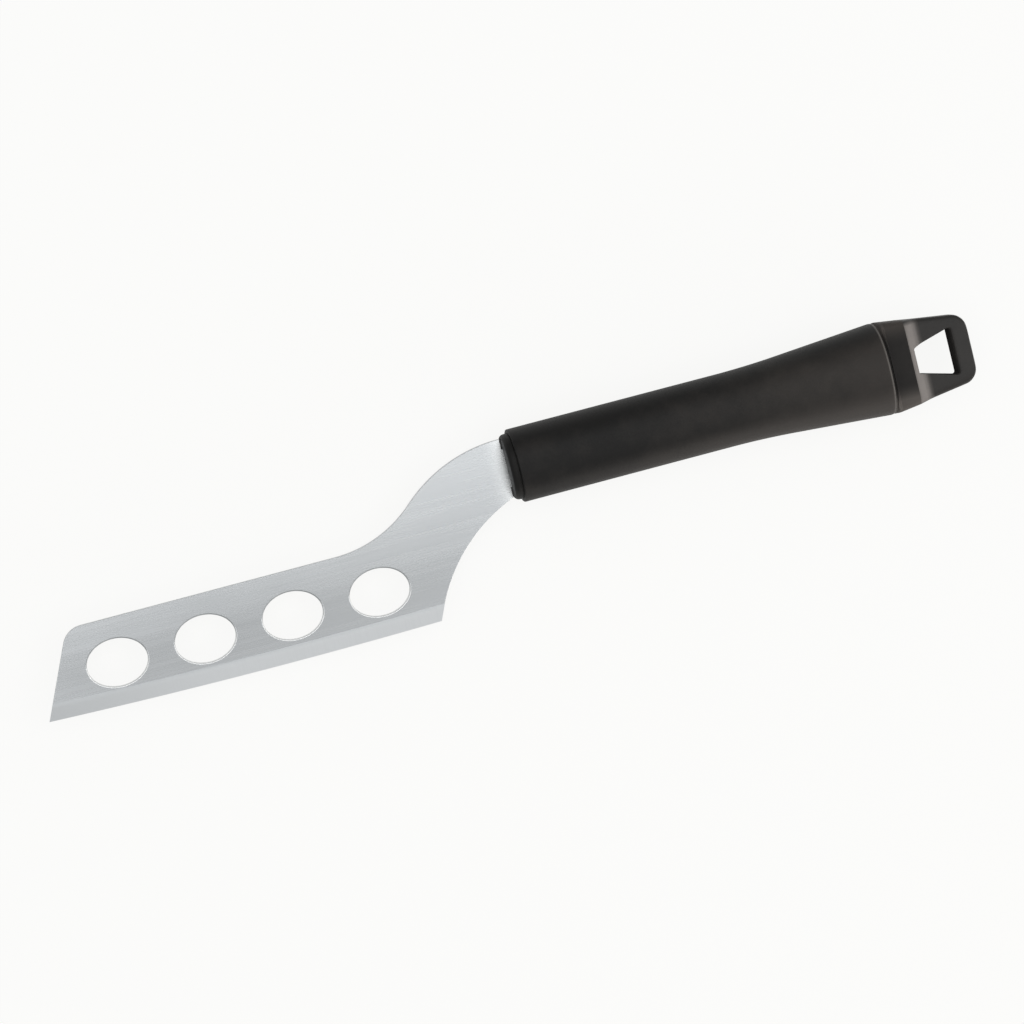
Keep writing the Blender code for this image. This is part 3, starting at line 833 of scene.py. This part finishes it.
class Loft:
    """A ring of the handle's section, drawn along its axis station by station."""

    def __init__(self):
        self.builder = bmesh.new()
        self.turn = self.builder.verts.layers.float.new("turn")
        self.first = []
        self.ring = []

    def to(self, x, half_width, half_height, squareness=SQUARENESS):
        if not self.ring:
            made = bmesh.ops.create_circle(self.builder, cap_ends=False, segments=SIDES, radius=1)
            self.ring = made["verts"]
            for vert in self.ring:
                vert[self.turn] = math.atan2(vert.co.y, vert.co.x)
            self.first = self.ring
        else:
            drawn = bmesh.ops.extrude_edge_only(self.builder, edges=edges_among(self.ring))
            self.ring = [item for item in drawn["geom"] if isinstance(item, bmesh.types.BMVert)]
        for vert in self.ring:
            across = power(math.cos(vert[self.turn]), squareness)
            up = power(math.sin(vert[self.turn]), squareness)
            vert.co = (x, half_width * across, half_height * up)

    def cap_ends(self):
        for ring in (self.first, self.ring):
            bmesh.ops.contextual_create(self.builder, geom=edges_among(ring))
        return self.builder

    def join_ends(self):
        bmesh.ops.bridge_loops(self.builder, edges=edges_among(self.first) + edges_among(self.ring))
        return self.builder


def quarter(radius, steps=ROUNDING_STEPS):
    """Steps of a rounded edge: distance along the axis and how far the surface is drawn in."""
    turns = (math.pi / 2 * step / steps for step in range(steps + 1))
    return [(radius * (1 - math.cos(a)), radius * (1 - math.sin(a))) for a in turns]


def drawn_in(half, inset):
    return half[0] - inset, half[1] - inset


def make_collar(material):
    loft = Loft()
    for along, inset in quarter(COLLAR_ROUNDING):
        loft.to(COLLAR_FRONT + along, *drawn_in(COLLAR, inset))
    loft.to(GRIP_FRONT - COLLAR_SEAM, *COLLAR)
    loft.to(GRIP_FRONT - COLLAR_SEAM, *PLUG)
    loft.to(COLLAR_END, *PLUG)
    builder = loft.builder
    slots = []
    for ring, x in ((loft.first, COLLAR_FRONT), (loft.ring, COLLAR_END)):
        slot = draw_slot(builder, x)
        bmesh.ops.triangle_fill(builder, edges=edges_among(ring) + slot, normal=(1, 0, 0))
        slots += slot
    bmesh.ops.bridge_loops(builder, edges=slots)
    shade_round(builder)
    finish_piece("collar_moulded", builder, "front_collar", [material])


def draw_slot(builder, x):
    """Draws a mouth of the slot that the tang passes through and returns its edges."""
    half_width = TANG_WIDTH / 2 + FIT_GAP
    half_height = BLADE_THICKNESS / 2 + FIT_GAP
    across = Matrix(((0, 0, 1, x), (half_width, 0, 0, 0), (0, half_height, 0, 0), (0, 0, 0, 1)))
    square = bmesh.ops.create_grid(builder, x_segments=1, y_segments=1, size=1, matrix=across)["verts"]
    edges = edges_among(square)
    bmesh.ops.delete(builder, geom=square[0].link_faces[:], context="FACES_ONLY")
    return edges


def grip_half(x):
    """Half width and half height of the grip: straight, then eased into an even flare."""
    start = GRIP_FRONT + GRIP_STRAIGHT
    share = max(0.0, (x - start) / (GRIP_BACK - GRIP_REAR_ROUNDING - start))
    if share < FLARE_EASE:
        flare = share ** 2 / (FLARE_EASE * (2 - FLARE_EASE))
    else:
        flare = (2 * share - FLARE_EASE) / (2 - FLARE_EASE)
    return tuple(fore + (rear - fore) * flare for fore, rear in zip(GRIP_FORE, GRIP_REAR))


def make_grip(material):
    loft = Loft()
    for along, inset in quarter(GRIP_FRONT_ROUNDING):
        loft.to(GRIP_FRONT + along, *drawn_in(GRIP_FORE, inset))
    start = GRIP_FRONT + GRIP_STRAIGHT
    end = GRIP_BACK - GRIP_REAR_ROUNDING
    for step in range(FLARE_STEPS):
        x = start + (end - start) * step / FLARE_STEPS
        loft.to(x, *grip_half(x))
    for along, inset in reversed(quarter(GRIP_REAR_ROUNDING)):
        half_width = GRIP_REAR[0] - inset * GRIP_REAR_SIDE_SHARE
        loft.to(GRIP_BACK - along, half_width, GRIP_REAR[1] - inset)
    loft.to(GRIP_BACK, *BORE)
    loft.to(GRIP_FRONT, *BORE)
    builder = loft.join_ends()
    shade_round(builder)
    finish_piece("grip_moulded", builder, "grip_sleeve", [material])


def cap_half_width(x):
    """Half width of the cap, which narrows evenly to the tab's end."""
    share = (x - CAP_FRONT) / CAP_LENGTH
    return GRIP_REAR[0] + (TAB_END_WIDTH / 2 - GRIP_REAR[0]) * share


def draw_band(loft):
    """The spigot, the groove at the joint, the rim behind it and its fall to the flat band."""
    groove_end = CAP_FRONT + GROOVE_LENGTH
    groove = (GRIP_REAR[0] - GROOVE_SIDE_DEPTH, GRIP_REAR[1] - GROOVE_DEPTH)
    shoulder = GRIP_REAR[1] - SHOULDER_STEP
    loft.to(CAP_FRONT - CAP_SPIGOT_LENGTH, *PLUG)
    loft.to(GRIP_BACK + CAP_SEAM, *PLUG)
    loft.to(GRIP_BACK + CAP_SEAM, *groove)
    loft.to(groove_end, *groove)
    loft.to(groove_end, cap_half_width(groove_end), shoulder)
    for along, share in quarter(1, SHOULDER_FALL_STEPS):
        x = groove_end + SHOULDER_LENGTH + along * SHOULDER_FALL_RUN
        half_height = BAND_ROOT_HEIGHT / 2 + (shoulder - BAND_ROOT_HEIGHT / 2) * share
        squareness = 1 / (share / SQUARENESS + (1 - share) / CAP_SQUARENESS)
        loft.to(x, cap_half_width(x), half_height, squareness)
    end = BAND_END - SCOOP_LIP
    loft.to(end, cap_half_width(end), BAND_HEIGHT / 2, CAP_SQUARENESS)


def scoop_profile():
    """Distances behind the band and heights over the tab: a straight slope, then a fillet."""
    drop = (BAND_HEIGHT - TAB_THICKNESS) / 2
    rise = drop - SCOOP_FILLET_RADIUS
    bend = math.asin(SCOOP_FILLET_RADIUS / math.hypot(SCOOP_RUN, rise))
    slope = math.atan2(rise, SCOOP_RUN) + bend
    turns = [slope * (1 - step / SCOOP_STEPS) for step in range(SCOOP_STEPS + 1)]
    return [(SCOOP_LIP, drop - SCOOP_LIP * math.tan(slope))] + [
        (SCOOP_RUN - SCOOP_FILLET_RADIUS * math.sin(turn), SCOOP_FILLET_RADIUS * (1 - math.cos(turn)))
        for turn in turns
    ]


def draw_scoop(loft):
    for along, left in scoop_profile():
        x = BAND_END + along
        loft.to(x, cap_half_width(x), TAB_THICKNESS / 2 + left, CAP_SQUARENESS)


def draw_tab(loft):
    """The flat tab, rounded at its end in plan and along its end edge."""
    start = BAND_END + SCOOP_RUN
    corner = CAP_END - TAB_CORNER_RADIUS
    for step in range(1, TAB_STEPS):
        x = start + (corner - start) * step / TAB_STEPS
        loft.to(x, cap_half_width(x), TAB_THICKNESS / 2, CAP_SQUARENESS)
    for step in range(TAB_CORNER_STEPS + 1):
        turn = math.pi / 2 * step / TAB_CORNER_STEPS
        x = corner + TAB_CORNER_RADIUS * math.sin(turn)
        inset = TAB_CORNER_RADIUS * (1 - math.cos(turn))
        past = max(0.0, x - (CAP_END - TAB_ROUNDING))
        thinned = TAB_ROUNDING - math.sqrt(max(0.0, TAB_ROUNDING ** 2 - past ** 2))
        loft.to(x, cap_half_width(x) - inset, TAB_THICKNESS / 2 - thinned, CAP_SQUARENESS)


def loop_cutter():
    """The hanging loop's four-sided hole, flared at the tab's two faces."""
    builder = bmesh.new()
    far = CAP_END - LOOP_END_BAR
    near = far - LOOP_LENGTH
    corners = [
        (near, -LOOP_NARROW_WIDTH / 2),
        (far, -LOOP_WIDE_WIDTH / 2),
        (far, LOOP_WIDE_WIDTH / 2),
        (near, LOOP_NARROW_WIDTH / 2),
    ]
    drawn = [builder.verts.new((*corner, 0)) for corner in corners]
    builder.faces.new(drawn)
    near_side, far_side = (drawn[0], drawn[3]), (drawn[1], drawn[2])
    for rounded, radius in ((near_side, LOOP_NEAR_RADIUS), (far_side, LOOP_CORNER_RADIUS)):
        bmesh.ops.bevel(
            builder, geom=rounded, offset=radius, offset_type="OFFSET", affect="VERTICES",
            segments=CORNER_STEPS // 2, profile=0.5, material=-1,
        )
    builder.faces.ensure_lookup_table()
    top = builder.faces[0]
    steps = [(0, TAB_THICKNESS / 2 - LOOP_ROUNDING)]
    arc = [math.pi / 2 * step / ROUNDING_STEPS for step in range(ROUNDING_STEPS + 1)]
    for before, after in zip(arc, arc[1:]):
        steps.append((
            LOOP_ROUNDING * (math.cos(before) - math.cos(after)),
            LOOP_ROUNDING * (math.sin(after) - math.sin(before)),
        ))
    steps.append((0, 2 * TAB_THICKNESS))
    for outward, upward in steps:
        drawn = bmesh.ops.extrude_discrete_faces(builder, faces=[top])
        top = drawn["faces"][0]
        bmesh.ops.translate(builder, verts=top.verts, vec=(0, 0, upward))
        if outward:
            swell(top, outward)
    half = builder.verts[:] + builder.edges[:] + builder.faces[:]
    bmesh.ops.mirror(builder, geom=half, merge_dist=WELD, axis="Z")
    return builder


def swell(face, outward):
    """Moves a flat face's outline outward: most at its far side, less at its flanks, not in front."""
    face.normal_update()
    loops = face.loops[:]
    middle = face.calc_center_median().x
    moves = []
    for loop in loops:
        here = loop.vert.co
        way_in = (here - loop.link_loop_prev.vert.co).normalized()
        way_out = (loop.link_loop_next.vert.co - here).normalized()
        side = (way_in + way_out).normalized().cross(face.normal)
        stretch = 1 / max(LOOP_MITRE_LIMIT, side.dot(way_in.cross(face.normal)))
        share = LOOP_SIDE_SHARE + (1 - LOOP_SIDE_SHARE) * max(0.0, side.x)
        moves.append(side * outward * stretch * (share if here.x > middle else 0))
    for loop, move in zip(loops, moves):
        loop.vert.co += move


def carve(mesh_builder, cutter_builder):
    """Cuts one drawn solid out of another and returns the result as a bmesh."""
    objects = []
    for builder in (mesh_builder, cutter_builder):
        bmesh.ops.recalc_face_normals(builder, faces=builder.faces)
        mesh = bpy.data.meshes.new("carving")
        builder.to_mesh(mesh)
        builder.free()
        item = bpy.data.objects.new("carving", mesh)
        bpy.context.collection.objects.link(item)
        objects.append(item)
    solid, cutter = objects
    modifier = solid.modifiers.new("carving", "BOOLEAN")
    modifier.operation = "DIFFERENCE"
    modifier.solver = "EXACT"
    modifier.object = cutter
    result = bmesh.new()
    result.from_object(solid, bpy.context.evaluated_depsgraph_get())
    for item in objects:
        mesh = item.data
        bpy.data.objects.remove(item)
        bpy.data.meshes.remove(mesh)
    return result


def make_cap(materials):
    loft = Loft()
    draw_band(loft)
    draw_scoop(loft)
    draw_tab(loft)
    builder = carve(loft.cap_ends(), loop_cutter())
    shade_round(builder)
    for face in builder.faces:
        if is_band(face):
            face.material_index = BAND
        elif is_loop_wall(face):
            face.material_index = LOOP_WALL
    finish_piece("cap_moulded", builder, "end_cap", materials)


def is_band(face):
    return CAP_FRONT < face.calc_center_median().x < BAND_END - SCOOP_LIP / 2


def is_loop_wall(face):
    """A face of the loop's walls, with the steeper part of its roundings."""
    middle = face.calc_center_median()
    far = LOOP_END_BAR - LOOP_ROUNDING
    near = LOOP_END_BAR + LOOP_LENGTH + LOOP_ROUNDING
    side = LOOP_WIDE_WIDTH / 2 + LOOP_ROUNDING
    inside = far < CAP_END - middle.x < near and abs(middle.y) < side
    return inside and abs(face.normal.z) < LOOP_WALL_NORMAL


def dress_inside():
    """Materials of the closed-in nodes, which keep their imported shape."""
    grey = make_material("core_grey_moulded", core_grey)
    steel = make_material("pin_steel_turned", pin_steel)
    for nodes, material in ((CORE_NODES, grey), (PIN_NODES, steel)):
        for node in nodes:
            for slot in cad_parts[node].material_slots:
                slot.material = material


def make_floor():
    builder = bmesh.new()
    bmesh.ops.create_grid(builder, x_segments=1, y_segments=1, size=FLOOR_SIZE / 2)
    mesh = bpy.data.meshes.new("studio_floor")
    builder.to_mesh(mesh)
    builder.free()
    mesh.materials.append(make_material("floor_pale", studio_floor))
    floor = bpy.data.objects.new("studio_floor", mesh)
    floor.location.z = CAD_BOX[0][2] - FLOOR_DROP
    bpy.context.collection.objects.link(floor)


def make_world():
    """Even pale light all round, which the camera sees as white."""
    world = bpy.data.worlds.new("studio")
    bpy.context.scene.world = world
    shader = Shader(world)
    seen = shader.node("ShaderNodeLightPath", output="Is Camera Ray")
    grey, white = (
        shader.node("ShaderNodeBackground", {}, {"Color": STUDIO_WHITE, "Strength": level})
        for level in (WORLD_LEVEL, BACKDROP_LEVEL)
    )
    mixed = shader.node("ShaderNodeMixShader", {}, {0: seen, 1: grey, 2: white})
    shader.node_out("ShaderNodeOutputWorld", mixed)


def make_lights():
    for name, (place, aim, width, height, watts, colour) in SOFT_BOXES.items():
        light = bpy.data.lights.new(name, "AREA")
        light.shape = "RECTANGLE"
        light.size = width
        light.size_y = height
        light.energy = watts
        light.color = colour
        box = bpy.data.objects.new(name, light)
        box.location = place
        box.rotation_euler = (Vector(aim) - Vector(place)).to_track_quat("-Z", "Y").to_euler()
        bpy.context.collection.objects.link(box)


def make_camera():
    """Long lens nearly over the knife, as in the photograph."""
    lens = bpy.data.cameras.new("camera")
    lens.lens = CAMERA_LENS
    lens.sensor_width = CAMERA_SENSOR
    camera = bpy.data.objects.new("camera", lens)
    camera.location = PLACE + CAMERA_PLACE
    camera.rotation_euler = CAMERA_TURN
    bpy.context.collection.objects.link(camera)
    bpy.context.scene.camera = camera


def main():
    bpy.context.scene.view_settings.view_transform = "Standard"
    make_camera()
    make_world()
    make_lights()
    make_floor()
    steel = make_material("satin_steel_brushed", satin_steel)
    ground = make_material("satin_steel_ground", ground_steel)
    punched = make_material("satin_steel_punched", punched_steel)
    collar = make_material("grip_black_collar", collar_black)
    grip = make_material("grip_black_grained", grip_black)
    trim = make_material("trim_black_moulded", trim_black)
    band = make_material("trim_black_band", band_black)
    loop = make_material("trim_black_loop", loop_black)
    make_blade([steel, ground, punched])
    make_collar(collar)
    make_grip(grip)
    make_cap([trim, band, loop])
    dress_inside()


main()
